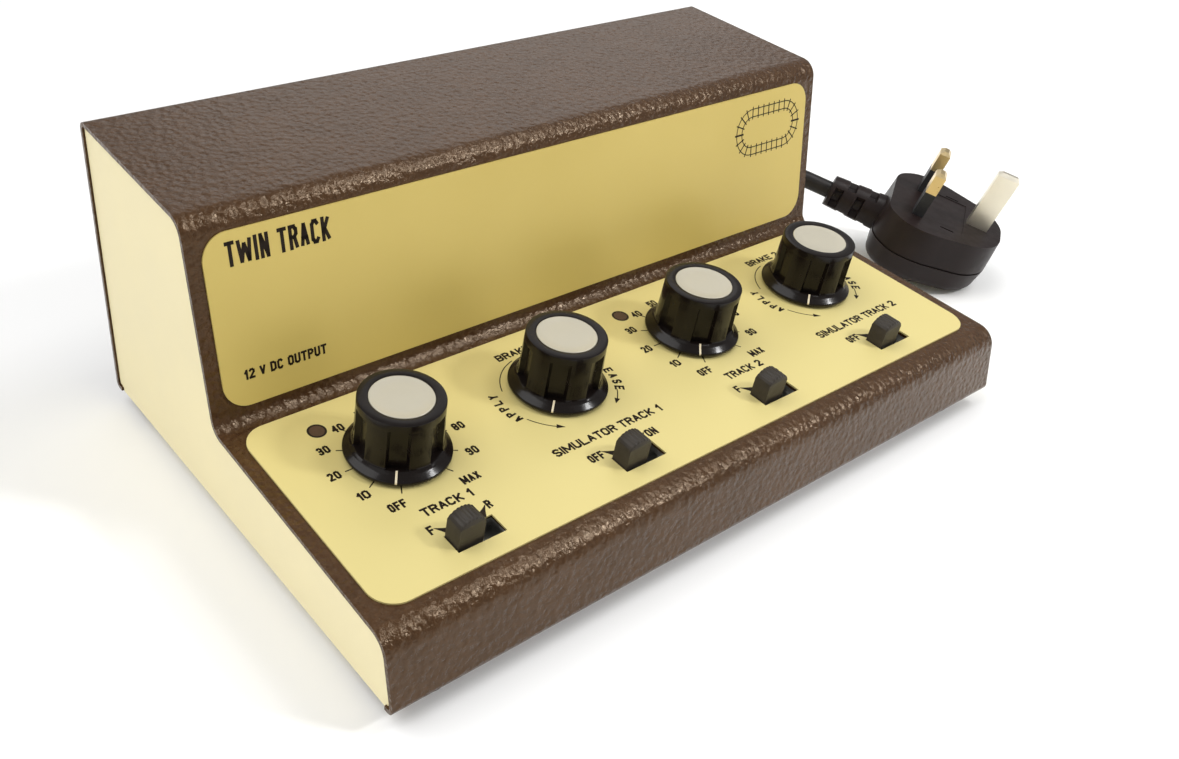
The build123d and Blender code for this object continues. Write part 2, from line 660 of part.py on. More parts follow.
def plug_body():
    """Moulded body in two halves with a groove between them, pocketed for the pins and the fuse."""
    outline = plug_outline()
    middle = Pos(0, 0, -PARTING_DEPTH) * outline
    front_half = loft([offset(outline, -0.8), middle])
    back_half = loft([middle, Pos(0, 0, -PLUG_DEPTH) * offset(outline, -1.2)])
    back_edges = back_half.faces().sort_by(Axis.Z)[0].edges()
    body = front_half + fillet(back_edges, PLUG_BACK_RADIUS)
    groove = offset(outline, 2.0) - offset(outline, -0.6)
    body -= Pos(0, 0, -PARTING_DEPTH - 0.4) * extrude(groove, 0.8)
    body -= fuse_pocket()
    body -= earth_block(-PIN_ROOT, 1)
    for x in LIVE_X:
        body -= pin_block(x, 0, LIVE_SECTION, -PIN_ROOT, 1)
    for side in (-1, 1):
        slot_x = sorted((side * (PRY_SLOT_X - 0.4), side * (PRY_SLOT_X + 0.4)))
        slot_y = (sum(FUSE_Y) / 2 - 2.5, sum(FUSE_Y) / 2 + 2.5)
        body -= block(slot_x, slot_y, (-1.5, 1))
    return PLUG_PLANE.location * body


def pin_block(x, y, size, low, high):
    return block((x - size[0] / 2, x + size[0] / 2), (y - size[1] / 2, y + size[1] / 2), (low, high))


def earth_block(low, high):
    return pin_block(0, PIN_SPACING, EARTH_SECTION, low, high)


def bevelled(pin):
    """Pin with its tip bevelled all round."""
    tip = pin.faces().sort_by(Axis.Z)[-1]
    return chamfer(tip.edges(), 1.2)


def sleeve_core(x, low, high):
    """Part of a live pin that its sleeve surrounds."""
    size = [length - 2 * SLEEVE_THICK for length in LIVE_SECTION]
    return pin_block(x, 0, size, low, high)


def live_pins():
    pins = []
    for x in LIVE_X:
        pin = bevelled(pin_block(x, 0, LIVE_SECTION, -PIN_ROOT, LIVE_LENGTH))
        waist = pin_block(x, 0, LIVE_SECTION, 0, SLEEVE_LENGTH) - sleeve_core(x, 0, SLEEVE_LENGTH)
        pins.append(pin - waist)
    return PLUG_PLANE.location * group(pins)


def earth_pin():
    return PLUG_PLANE.location * bevelled(earth_block(-PIN_ROOT, EARTH_LENGTH))


def pin_sleeves():
    sleeves = []
    for x in LIVE_X:
        outer = pin_block(x, 0, LIVE_SECTION, 0, SLEEVE_LENGTH)
        sleeves.append(outer - sleeve_core(x, -1, SLEEVE_LENGTH + 1))
    return PLUG_PLANE.location * group(sleeves)


def fuse_pocket():
    return block(FUSE_X, FUSE_Y, (-FUSE_POCKET_DEPTH, 1))


def fuse_rod():
    """Cartridge fuse lying across the plug, under its cover."""
    place = Pos(-FUSE_LENGTH / 2, sum(FUSE_Y) / 2, -FUSE_DEPTH)
    return place * Rot(0, 90, 0) * disc(FUSE_R, 0, FUSE_LENGTH)


def fuse_cover():
    """Carrier that pushes into the pin face and holds the fuse."""
    carrier = block(FUSE_X, FUSE_Y, (-FUSE_POCKET_DEPTH, -0.2))
    return PLUG_PLANE.location * (carrier - fuse_rod())


def plug_fuse():
    return PLUG_PLANE.location * fuse_rod()


def plug_relief():
    """Tapered sleeve where the cord enters the plug, notched in two rows so that it can bend."""
    start, end = RELIEF_Y
    length = start - end
    relief = Cone(*RELIEF_RADII, length, align=(Align.CENTER, Align.CENTER, Align.MIN))
    relief -= disc(CORD_D / 2, -1, length + 1)
    notch_pitch = 8.5
    for index in range(2):
        for turn in (0, 90):
            low = 4.0 + index * notch_pitch + turn / 90 * notch_pitch / 2
            notch = block((-8, 8), (4.4, 8), (low, low + 2.4))
            relief -= Rot(0, 0, turn) * notch
            relief -= Rot(0, 0, turn + 180) * notch
    return PLUG_PLANE.location * Pos(0, start, CORD_DEPTH) * Rot(90, 0, 0) * relief - plug_body()


# ---------------------------------------------------------------- build

write("cover", cover())
write("chassis", chassis())
feet, foot_screws, foot_nuts = foot_parts()
write("rubber_feet", group(feet))
write("foot_screws", group(foot_screws))
write("foot_nuts", group(foot_nuts))
write("upper_label", label_plate(UPPER_PLANE, UPPER_LABEL_SPAN))
write("control_label", control_label())

for x, name in zip(CONTROL_X, CONTROL_NAMES):
    place = on_panel(x, KNOB_ROW)
    write(f"{name}_knob", place * knob())
    write(f"{name}_cap", place * knob_cap())
    write(f"{name}_shaft", place * knob_shaft())
    write(f"{name}_pot", place * potentiometer())
write("pot_washers", group([on_panel(x, KNOB_ROW) * pot_washer() for x in CONTROL_X]))
write("pot_nuts", group([on_panel(x, KNOB_ROW) * pot_nut() for x in CONTROL_X]))

switch_x = [x + SWITCH_OFFSET for x in CONTROL_X]
for x, name in zip(switch_x, SWITCH_NAMES):
    write(f"{name}_housing", on_panel(x, SWITCH_ROW) * switch_housing())
    write(f"{name}_slider", on_panel(x, SWITCH_ROW) * switch_slider())
screw_x = [x + side * SWITCH_SCREW_PITCH / 2 for x in switch_x for side in (-1, 1)]
write("switch_screws", group([on_panel(x, SWITCH_ROW) * switch_screw() for x in screw_x]))

lamp_x = [CONTROL_X[0] + LAMP_OFFSET, CONTROL_X[2] + LAMP_OFFSET]
for index, x in enumerate(lamp_x, 1):
    write(f"lamp_{index}", on_panel(x, LAMP_ROW) * lamp())
write("lamp_holders", group([on_panel(x, LAMP_ROW) * lamp_holder() for x in lamp_x]))

names = ["transformer_core", "transformer_bobbin", "transformer_winding", "transformer_strap"]
for name, piece in zip(names, transformer()):
    write(name, piece)

write("circuit_board", circuit_board())
write("board_pillars", board_pillars())
board_top = BOARD_Z + BOARD_THICK
screws = [fixing_screw(x, y, board_top) for x, y in PILLAR_PLACES]
screws += [fixing_screw(x, y, CORE_Z + 0.2) for x, y in TRANSFORMER_FEET]
write("fixing_screws", group(screws))
write("heat_sink", heat_sink())
write("power_transistors", power_transistors())
write("bridge_rectifiers", rectifiers())
write("smoothing_capacitors", capacitors())

write("terminal_strip", terminal_strip())
write("terminal_screws", terminal_screws())

write("cord_bush", cord_bush())
write("cord_lead", group([cord_tube(lead_to_coil()), cord_tube(coil_to_plug())]))
write("cord_coil", cord_coil())
write("plug_body", plug_body())
write("plug_relief", plug_relief())
write("plug_live_pins", live_pins())
write("plug_earth_pin", earth_pin())
write("plug_pin_sleeves", pin_sleeves())
write("plug_fuse_cover", fuse_cover())
write("plug_fuse", plug_fuse())
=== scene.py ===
"""The looks of the twin track train set controller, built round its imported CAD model."""
import json
import math

import bmesh
import bpy
from mathutils import Matrix, Vector


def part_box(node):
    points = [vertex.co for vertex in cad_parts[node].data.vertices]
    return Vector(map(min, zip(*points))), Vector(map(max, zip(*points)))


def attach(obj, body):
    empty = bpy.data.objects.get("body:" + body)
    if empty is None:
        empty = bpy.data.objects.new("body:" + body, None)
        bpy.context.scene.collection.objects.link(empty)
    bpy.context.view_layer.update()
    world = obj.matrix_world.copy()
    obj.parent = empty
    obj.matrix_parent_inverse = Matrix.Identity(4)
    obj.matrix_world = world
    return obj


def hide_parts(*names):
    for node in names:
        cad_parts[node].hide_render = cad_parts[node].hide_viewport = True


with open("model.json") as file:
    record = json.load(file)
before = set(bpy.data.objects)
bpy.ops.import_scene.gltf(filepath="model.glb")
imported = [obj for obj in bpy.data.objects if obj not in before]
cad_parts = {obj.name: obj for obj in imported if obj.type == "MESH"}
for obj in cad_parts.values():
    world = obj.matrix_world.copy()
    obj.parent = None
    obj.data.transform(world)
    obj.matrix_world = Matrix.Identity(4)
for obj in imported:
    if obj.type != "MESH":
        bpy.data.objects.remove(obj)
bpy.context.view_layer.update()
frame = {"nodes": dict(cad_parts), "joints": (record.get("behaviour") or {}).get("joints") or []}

MM = 0.001
ACROSS = Vector((1, 0, 0))
CHANNELS = ("throttle_1", "brake_1", "throttle_2", "brake_2")
SWITCHES = ("direction_1", "simulator_1", "direction_2", "simulator_2")
NODES = frame["nodes"]
JOINTS = {joint["name"]: joint for joint in frame["joints"]}


# The camera

CAMERA_PLACE = Vector((-0.2054, -0.2075, 0.2016))
CAMERA_TURN = math.radians(38.05)
CAMERA_DIP = math.radians(33.88)
CAMERA_ROLL = math.radians(3.19)


def add_camera():
    """The camera, turned to the right of the object's depth, tipped down and rolled a little."""
    data = bpy.data.cameras.new("camera")
    data.sensor_width = 36
    data.lens = 33.77
    data.shift_x = 0.122
    data.shift_y = -0.009
    data.clip_start = 0.01
    forward = Vector((math.sin(CAMERA_TURN) * math.cos(CAMERA_DIP),
                      math.cos(CAMERA_TURN) * math.cos(CAMERA_DIP),
                      -math.sin(CAMERA_DIP)))
    level = Vector((math.cos(CAMERA_TURN), -math.sin(CAMERA_TURN), 0))
    right = level * math.cos(CAMERA_ROLL) + level.cross(forward) * math.sin(CAMERA_ROLL)
    up = right.cross(forward)
    camera = bpy.data.objects.new("camera", data)
    bpy.context.collection.objects.link(camera)
    turn = Matrix((right, up, -forward)).transposed().to_4x4()
    camera.matrix_world = Matrix.Translation(CAMERA_PLACE) @ turn
    bpy.context.scene.camera = camera


# Materials

def socket_named(sockets, name):
    return next(socket for socket in sockets if socket.name == name and socket.enabled)


class Finish:
    """A procedural material: one principled shader and the textures that drive its sockets."""

    def __init__(self, name, roughness=0.5, metallic=0.0, specular=0.5, coat=0.0, coat_roughness=0.1):
        self.material = bpy.data.materials.new(name)
        self.material.use_nodes = True
        self.tree = self.material.node_tree
        self.tree.nodes.clear()
        output = self.tree.nodes.new("ShaderNodeOutputMaterial")
        self.shader = self.tree.nodes.new("ShaderNodeBsdfPrincipled")
        self.tree.links.new(self.shader.outputs[0], output.inputs[0])
        self.shader.inputs["Roughness"].default_value = roughness
        self.shader.inputs["Metallic"].default_value = metallic
        self.shader.inputs["Specular IOR Level"].default_value = specular
        self.shader.inputs["Coat Weight"].default_value = coat
        self.shader.inputs["Coat Roughness"].default_value = coat_roughness
        self.coordinates = self.tree.nodes.new("ShaderNodeTexCoord").outputs["Object"]
        self.normal = None

    def stretched(self, scale):
        """Object coordinates scaled by a different amount along each axis."""
        mapping = self.tree.nodes.new("ShaderNodeMapping")
        mapping.inputs["Scale"].default_value = scale
        self.tree.links.new(self.coordinates, mapping.inputs["Vector"])
        return mapping.outputs[0]

    def noise(self, size, detail=4.0, roughness=0.55, distortion=0.0, where=None):
        """Cloudy noise whose blobs are about size metres across."""
        node = self.tree.nodes.new("ShaderNodeTexNoise")
        node.inputs["Scale"].default_value = 1 / size
        node.inputs["Detail"].default_value = detail
        node.inputs["Roughness"].default_value = roughness
        node.inputs["Distortion"].default_value = distortion
        self.tree.links.new(where or self.coordinates, node.inputs["Vector"])
        return node.outputs["Fac"]

    def cells(self, size, smoothness=0.6):
        """Rounded cells about size metres across."""
        node = self.tree.nodes.new("ShaderNodeTexVoronoi")
        node.feature = "SMOOTH_F1"
        node.inputs["Scale"].default_value = 1 / size
        node.inputs["Smoothness"].default_value = smoothness
        self.tree.links.new(self.coordinates, node.inputs["Vector"])
        return node.outputs["Distance"]

    def rings(self, pitch):
        """Fine rings round the piece's own z axis."""
        node = self.tree.nodes.new("ShaderNodeTexWave")
        node.wave_type = "RINGS"
        node.rings_direction = "Z"
        node.inputs["Scale"].default_value = 0.314 / pitch
        node.inputs["Distortion"].default_value = 1.5
        node.inputs["Detail"].default_value = 3
        node.inputs["Detail Scale"].default_value = 2
        self.tree.links.new(self.coordinates, node.inputs["Vector"])
        return node.outputs["Fac"]

    def ramp(self, value, stops):
        """A colour for each value, given as (position, colour) stops."""
        node = self.tree.nodes.new("ShaderNodeValToRGB")
        elements = node.color_ramp.elements
        for element, (position, colour) in zip(elements, stops):
            element.position = position
            element.color = (*colour, 1)
        self.tree.links.new(value, node.inputs["Fac"])
        return node.outputs["Color"]

    def spread(self, value, low, high, start=0.3, end=0.7):
        """Value from start to end laid over low to high."""
        node = self.tree.nodes.new("ShaderNodeMapRange")
        node.inputs["From Min"].default_value = start
        node.inputs["From Max"].default_value = end
        node.inputs["To Min"].default_value = low
        node.inputs["To Max"].default_value = high
        self.tree.links.new(value, node.inputs["Value"])
        return node.outputs[0]

    def multiplied(self, first, second):
        """One colour multiplied by another."""
        node = self.tree.nodes.new("ShaderNodeMix")
        node.data_type = "RGBA"
        node.blend_type = "MULTIPLY"
        socket_named(node.inputs, "Factor").default_value = 1.0
        self.tree.links.new(first, socket_named(node.inputs, "A"))
        self.tree.links.new(second, socket_named(node.inputs, "B"))
        return socket_named(node.outputs, "Result")

    def colour(self, value):
        self.tree.links.new(value, self.shader.inputs["Base Color"])

    def roughness(self, value):
        self.tree.links.new(value, self.shader.inputs["Roughness"])

    def bump(self, height, distance):
        """Relief distance metres deep, laid over any relief already given."""
        node = self.tree.nodes.new("ShaderNodeBump")
        node.inputs["Distance"].default_value = distance
        node.inputs["Strength"].default_value = 1.0
        self.tree.links.new(height, node.inputs["Height"])
        if self.normal:
            self.tree.links.new(self.normal, node.inputs["Normal"])
        self.normal = node.outputs[0]
        self.tree.links.new(self.normal, self.shader.inputs["Normal"])


def toned(finish, tone, size, spread=0.12, roughness=None, roughness_size=None):
    """Gives a finish a colour that wanders a little about one tone, and a roughness that wanders too."""
    low = [part * (1 - spread) for part in tone]
    high = [part * (1 + spread) for part in tone]
    finish.colour(finish.ramp(finish.noise(size, 5), [(0.3, low), (0.7, high)]))
    if roughness:
        value = finish.noise(roughness_size or size, 4)
        finish.roughness(finish.spread(value, *roughness))
    return finish


def hammered_paint():
    """Glossy brown paint with rounded dimples and a finer wrinkle between them."""
    finish = Finish("hammered_brown_paint", specular=0.50)
    finish.shader.inputs["Specular Tint"].default_value = (1.0, 0.78, 0.56, 1)
    patches = finish.noise(14 * MM, 5)
    wrinkles = finish.noise(1.1 * MM, 3, 0.6, 0.6)
    base = finish.ramp(patches, [(0.3, (0.050, 0.023, 0.009)), (0.7, (0.064, 0.030, 0.012))])
    flecks = finish.ramp(wrinkles, [(0.35, (0.82, 0.80, 0.79)), (0.65, (1.14, 1.13, 1.12))])
    finish.colour(finish.multiplied(base, flecks))
    finish.roughness(finish.spread(wrinkles, 0.17, 0.27))
    finish.bump(finish.cells(1.8 * MM, 0.8), 0.30 * MM)
    finish.bump(wrinkles, 0.20 * MM)
    return finish.material


def cream_paint():
    finish = Finish("cream_paint", specular=0.4)
    toned(finish, (0.880, 0.780, 0.475), 30 * MM, 0.02, (0.40, 0.50))
    finish.bump(finish.noise(2.2 * MM, 3), 0.02 * MM)
    return finish.material


def gold_label(name, low, high):
    """Satin gold lacquer whose tone wanders between two colours."""
    finish = Finish(name, metallic=0.15, specular=0.45)
    sheen = finish.noise(60 * MM, 2)
    grain = finish.noise(0.5 * MM, 4)
    finish.colour(finish.ramp(sheen, [(0.3, low), (0.7, high)]))
    finish.roughness(finish.spread(grain, 0.36, 0.44))
    finish.bump(grain, 0.004 * MM)
    return finish.material


def print_ink():
    finish = Finish("black_print", specular=0.15)
    toned(finish, (0.018, 0.011, 0.007), 1.2 * MM, 0.3, (0.42, 0.6))
    finish.bump(finish.noise(0.25 * MM, 2), 0.006 * MM)
    return finish.material


def knob_black():
    finish = Finish("gloss_black_moulding", specular=0.18, coat=0.08, coat_roughness=0.05)
    toned(finish, (0.0075, 0.0050, 0.0042), 6 * MM, 0.2, (0.16, 0.28), 3 * MM)
    finish.bump(finish.noise(1.1 * MM, 4), 0.010 * MM)
    return finish.material


def spun_metal():
    finish = Finish("spun_satin_metal", metallic=0.25, specular=0.35)
    toned(finish, (0.525, 0.492, 0.398), 9 * MM, 0.02)
    turned = finish.rings(0.22 * MM)
    finish.roughness(finish.spread(turned, 0.38, 0.46, 0, 1))
    finish.bump(turned, 0.002 * MM)
    return finish.material


def pointer_paint():
    finish = Finish("pointer_paint", specular=0.4)
    toned(finish, (0.78, 0.68, 0.48), 0.8 * MM, 0.1, (0.4, 0.55))
    finish.bump(finish.noise(0.2 * MM, 3), 0.01 * MM)
    return finish.material


def slider_grey():
    finish = Finish("matt_grey_moulding", specular=0.3)
    toned(finish, (0.033, 0.0265, 0.0195), 2 * MM, 0.2, (0.4, 0.55))
    finish.bump(finish.noise(0.22 * MM, 3), 0.010 * MM)
    return finish.material


def lamp_lens():
    finish = Finish("dark_lens", specular=0.3, coat=0.1, coat_roughness=0.15)
    toned(finish, (0.075, 0.038, 0.024), 2 * MM, 0.2, (0.3, 0.45))
    finish.bump(finish.cells(0.6 * MM), 0.02 * MM)
    return finish.material


def cord_black():
    finish = Finish("black_sheath", specular=0.3)
    toned(finish, (0.0125, 0.0100, 0.0095), 8 * MM, 0.25, (0.36, 0.5))
    finish.bump(finish.noise(0.35 * MM, 4), 0.010 * MM)
    finish.bump(finish.noise(6 * MM, 2), 0.06 * MM)
    return finish.material


def plug_black():
    finish = Finish("black_moulded_plug", specular=0.2)
    toned(finish, (0.0150, 0.0092, 0.0086), 10 * MM, 0.15, (0.34, 0.48), 4 * MM)
    finish.bump(finish.noise(0.3 * MM, 3), 0.010 * MM)
    return finish.material


def metal(name, tone, size=3 * MM, roughness=(0.22, 0.38), grain=0.006 * MM, along=None):
    """Bare or plated metal, with marks drawn out along one axis if asked for."""
    finish = Finish(name, metallic=1.0)
    where = finish.stretched(along) if along else None
    marks = finish.noise(size / 4, 5, 0.6, 0.0, where)
    toned(finish, tone, size, 0.06)
    finish.roughness(finish.spread(marks, *roughness))
    finish.bump(marks, grain)
    return finish.material


def moulding(name, tone, roughness=(0.4, 0.55), grain=0.012 * MM, size=4 * MM, specular=0.45):
    """Moulded plastic, laminate or rubber."""
    finish = Finish(name, specular=specular)
    toned(finish, tone, size, 0.1, roughness)
    finish.bump(finish.noise(size / 10, 4), grain)
    return finish.material


def laminated_steel():
    finish = Finish("varnished_laminations", metallic=0.6)
    toned(finish, (0.16, 0.13, 0.11), 6 * MM, 0.15, (0.4, 0.6))
    sheets = finish.noise(0.5 * MM, 2, 0.5, 0.0, finish.stretched((1, 0.02, 0.02)))
    finish.bump(sheets, 0.05 * MM)
    return finish.material


def copper_winding():
    finish = Finish("taped_winding", specular=0.5, coat=0.3, coat_roughness=0.2)
    wraps = finish.noise(2.5 * MM, 3, 0.5, 0.0, finish.stretched((0.1, 0.1, 1)))
    tape = finish.ramp(wraps, [(0.35, (0.42, 0.27, 0.06)), (0.65, (0.60, 0.42, 0.10))])
    finish.colour(tape)
    finish.bump(wraps, 0.15 * MM)
    return finish.material


def floor_white():
    finish = Finish("floor_white", roughness=0.6, specular=0.2)
    toned(finish, (0.955, 0.955, 0.95), 0.25, 0.005, (0.55, 0.65))
    finish.bump(finish.noise(1.5 * MM, 3), 0.01 * MM)
    return finish.material


def make_slot_materials():
    """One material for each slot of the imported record."""
    black = plug_black()
    return {
        "case_paint": hammered_paint(),
        "chassis_paint": cream_paint(),
        "label_metal": gold_label("gold_label", (0.718, 0.610, 0.248), (0.744, 0.636, 0.266)),
        # The upper label gets a deeper, darker copy of the label gold; the darkening is painted shade for
        # this front-facing label.
        "upper_label": gold_label("painted_shade_gold_label", (0.616, 0.474, 0.129), (0.662, 0.515, 0.149)),
        "knob_plastic": knob_black(),
        "cap_metal": spun_metal(),
        "shaft_steel": metal("turned_steel", (0.56, 0.56, 0.55)),
        "pot_case": metal("plated_pressing", (0.62, 0.60, 0.54), 5 * MM),
        "plated_steel": metal("zinc_plate", (0.60, 0.60, 0.58), 2 * MM, (0.25, 0.45)),
        "slider_plastic": slider_grey(),
        "lamp_lens": lamp_lens(),
        "holder_plastic": moulding("black_holder", (0.012, 0.008, 0.006), specular=0.2),
        "foot_rubber": moulding("black_rubber", (0.020, 0.019, 0.018), (0.7, 0.85), 0.03 * MM),
        "core_steel": laminated_steel(),
        "bobbin_plastic": moulding("nylon_bobbin", (0.66, 0.60, 0.44)),
        "winding_copper": copper_winding(),
        "board_laminate": moulding("phenolic_board", (0.24, 0.13, 0.05), (0.4, 0.6)),
        "pillar_brass": metal("machined_brass", (0.80, 0.62, 0.33), 12 * MM, (0.26, 0.34), 0.001 * MM),
        "sink_aluminium": metal("extruded_aluminium", (0.70, 0.70, 0.70), 4 * MM, (0.3, 0.45),
                                0.01 * MM, (1, 1, 0.05)),
        "component_black": moulding("black_component", (0.018, 0.018, 0.020)),
        "capacitor_sleeve": moulding("shrink_sleeve", (0.02, 0.05, 0.20), (0.2, 0.35)),
        "cord_sheath": cord_black(),
        "plug_plastic": black,
        "pin_plating": metal("plated_pin", (0.84, 0.79, 0.66), 12 * MM, (0.3, 0.38), 0.001 * MM),
        "fuse_ceramic": moulding("fuse_tube", (0.78, 0.74, 0.66), (0.25, 0.4)),
    }


def paint_nodes(materials):
    """Gives every CAD node the material of each slot that it uses."""
    for node in NODES.values():
        for place in node.material_slots:
            name = place.material.name.split(".")[0] if place.material else ""
            if name in materials:
                place.material = materials[name]
    NODES["plug_earth_pin"].material_slots[0].material = materials["pin_plating"]
    # The upper label takes the darker gold copy, which paints shade on its front-facing panel.
    NODES["upper_label"].material_slots[0].material = materials["upper_label"]


# Pieces made in mesh code

def add_piece(name, vertices, faces, material, body="root", smooth=None):
    """Makes a mesh piece that rides on a body, with edges sharper than smooth degrees kept crisp."""
    mesh = bpy.data.meshes.new(name)
    mesh.from_pydata([tuple(v) for v in vertices], [], faces)
    mesh.validate()
    builder = bmesh.new()
    builder.from_mesh(mesh)
    bmesh.ops.recalc_face_normals(builder, faces=builder.faces)
    builder.to_mesh(mesh)
    builder.free()
    if smooth:
        mesh.shade_smooth()
        mesh.set_sharp_from_angle(angle=math.radians(smooth))
    piece = bpy.data.objects.new(name, mesh)
    bpy.context.collection.objects.link(piece)
    mesh.materials.append(material)
    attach(piece, body)
    return piece


def joined_rings(rings, count):
    """Faces that join rings of count vertices one after another and close both ends."""
    faces = []
    for ring in range(rings - 1):
        low = ring * count
        high = low + count
        for index in range(count):
            after = (index + 1) % count
            faces.append((low + index, low + after, high + after, high + index))
    faces.append(tuple(reversed(range(count))))
    faces.append(tuple(range((rings - 1) * count, rings * count)))
    return faces


def lathe(rows, count, radius_at):
    """Vertices and faces of rings stacked along z and closed at both ends; a ring is (z, r, flute)."""
    vertices = []
    for z, r, flute in rows:
        for index in range(count):
            angle = 2 * math.pi * index / count
            reach = radius_at(angle, r, flute)
            vertices.append((reach * math.cos(angle), reach * math.sin(angle), z))
    return vertices, joined_rings(len(rows), count)


def smooth_step(value):
    """Value held between 0 and 1 and eased at both ends."""
    value = min(1.0, max(0.0, value))
    return value * value * (3 - 2 * value)


# The cord

CORD_RADIUS = 3.25 * MM
COIL_CENTRE = (100.25, 163.5)
COIL_TURNS = 6.5
POINTS_PER_TURN = 16
RING_STEP = 6.5
RING_HEIGHT = 3.25
OUTER_RING = 41.25
CROSSING_LAG = 24 / 360
CROSSING_WIDTH = 40 / 360
LEAD_POINTS = [(58, 95.5, 18), (58.4, 104, 17.6), (58.6, 115, 15.5), (59, 135.5, 6), (59, 150, 3.25)]
TAIL_START = (138.25, 163.5, 22.75)
TAIL_STEPS = [(0, 0, 0), (1, -22, -2.25), (1.5, -41, -13.75), (2, -62, -18.25), (3, -84, -11.75),
              (4.5, -106, 2.25)]
PLUG_ORIGIN = Vector((175.2, -8.6, 28.1))
PLUG_WIDTH = Vector((-0.872, -0.489, -0.015)).normalized()
PLUG_PINS = Vector((0.103, -0.213, 0.971)).normalized()
RELIEF_START = -11.0
RELIEF_END = -31.5
CORD_DEPTH = -11.0


def plug_point(across, along, out):
    """A point of the plug from its pin face's middle: across its width, along to the earth pin, out."""
    along_axis = PLUG_PINS.cross(PLUG_WIDTH)
    return PLUG_ORIGIN + across * PLUG_WIDTH + along * along_axis + out * PLUG_PINS


def coil_points():
    """Three double layers of turns wound outside to inside and back, and a last half turn on top."""
    points = []
    allowance = 1 / math.cos(math.pi / POINTS_PER_TURN)
    for index in range(1, int(COIL_TURNS * POINTS_PER_TURN)):
        turn = index / POINTS_PER_TURN
        crossings = [(1 - CROSSING_LAG) * (k + 1) for k in range(6)]
        moved = [smooth_step((turn - crossing) / CROSSING_WIDTH + 0.5) for crossing in crossings]
        inward = moved[0] - moved[2] + moved[4] - 0.5 * moved[5]
        raised = moved[1] + moved[3] + moved[5]
        radius = (OUTER_RING - RING_STEP * inward) * allowance
        angle = math.pi - 2 * math.pi * turn
        points.append((COIL_CENTRE[0] + radius * math.cos(angle),
                       COIL_CENTRE[1] + radius * math.sin(angle),
                       RING_HEIGHT + RING_STEP * raised))
    return points


def add_cord(material):
    """The mains lead: out of the case, into its put-away coil and on to the plug."""
    tail = [tuple(Vector(TAIL_START) + Vector(step)) for step in TAIL_STEPS]
    tail += [tuple(plug_point(0, along, CORD_DEPTH)) for along in (RELIEF_END - 20, RELIEF_END, -16)]
    points = LEAD_POINTS + coil_points() + tail
    curve = bpy.data.curves.new("cord", "CURVE")
    curve.dimensions = "3D"
    curve.bevel_depth = CORD_RADIUS
    curve.bevel_resolution = 5
    curve.use_fill_caps = True
    curve.resolution_u = 5
    spline = curve.splines.new("NURBS")
    spline.points.add(len(points) - 1)
    for target, point in zip(spline.points, points):
        target.co = (point[0] * MM, point[1] * MM, point[2] * MM, 1)
    spline.order_u = 3
    spline.use_endpoint_u = True
    cord = bpy.data.objects.new("cord", curve)
    bpy.context.collection.objects.link(cord)
    curve.materials.append(material)
    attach(cord, "root")
    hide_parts("cord_lead", "cord_coil")
    return cord


# The print on the labels

class Panel:
    """The outer face of a label: its middle, the directions across and up it, and its normal."""

    def __init__(self, node):
        mesh = NODES[node].data
        outer = max((p for p in mesh.polygons if p.normal.z > 0), key=lambda p: p.area)
        self.normal = outer.normal.copy().normalized()
        self.up = self.normal.cross(ACROSS).normalized()
        corners = [v.co for v in mesh.vertices]
        across = [c.dot(ACROSS) for c in corners]
        up = [c.dot(self.up) for c in corners]
        self.width = max(across) - min(across)
        self.height = max(up) - min(up)
        height = outer.center.dot(self.normal)
        middle = (max(up) + min(up)) / 2
        self.middle = ACROSS * (max(across) + min(across)) / 2 + self.up * middle + self.normal * height

    def at(self, x, y, out=0.0):
        """The point x metres across and y up from the middle."""
        return self.middle + ACROSS * x + self.up * y + self.normal * out

    def place_of(self, point):
        """How far across and up from the middle a point of the model is."""
        away = Vector(point) - self.middle
        return away.dot(ACROSS), away.dot(self.up)


INK = 0.035 * MM


